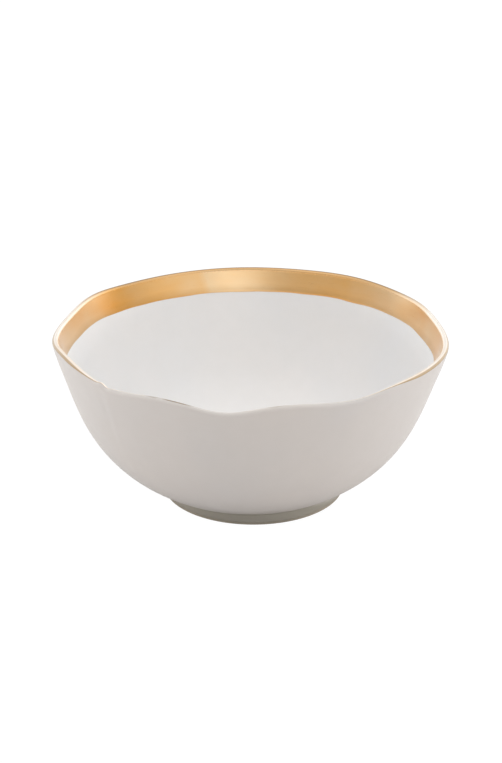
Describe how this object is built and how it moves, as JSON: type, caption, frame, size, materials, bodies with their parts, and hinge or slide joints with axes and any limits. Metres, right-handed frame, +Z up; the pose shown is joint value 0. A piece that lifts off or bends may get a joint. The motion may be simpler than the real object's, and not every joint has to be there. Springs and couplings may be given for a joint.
{
  "type": "serving bowl",
  "caption": "Round porcelain serving bowl with a wavy hand-formed lip, a broad gold band inside the lip and a low foot ring.",
  "frame": {"origin": "on the table plane, under the middle of the lip", "axes": "+Z up, -Y towards the front, where the lip dips lowest; +X to the right of someone facing that side"},
  "size_m": [0.252, 0.251, 0.1126],
  "materials": {
    "porcelain": "satin",
    "bare_foot": "matte",
    "inner_glaze": "gloss",
    "outer_glaze": "satin",
    "gold": "satin"
  },
  "bodies": {
    "root": {"bowl_body": "porcelain", "foot_ring": "bare_foot", "inner_glaze": "inner_glaze", "outer_glaze": "outer_glaze", "foot_glaze": "outer_glaze", "base_glaze": "outer_glaze", "gold_band": "gold", "gold_lip": "gold"}
  },
  "joints": []
}
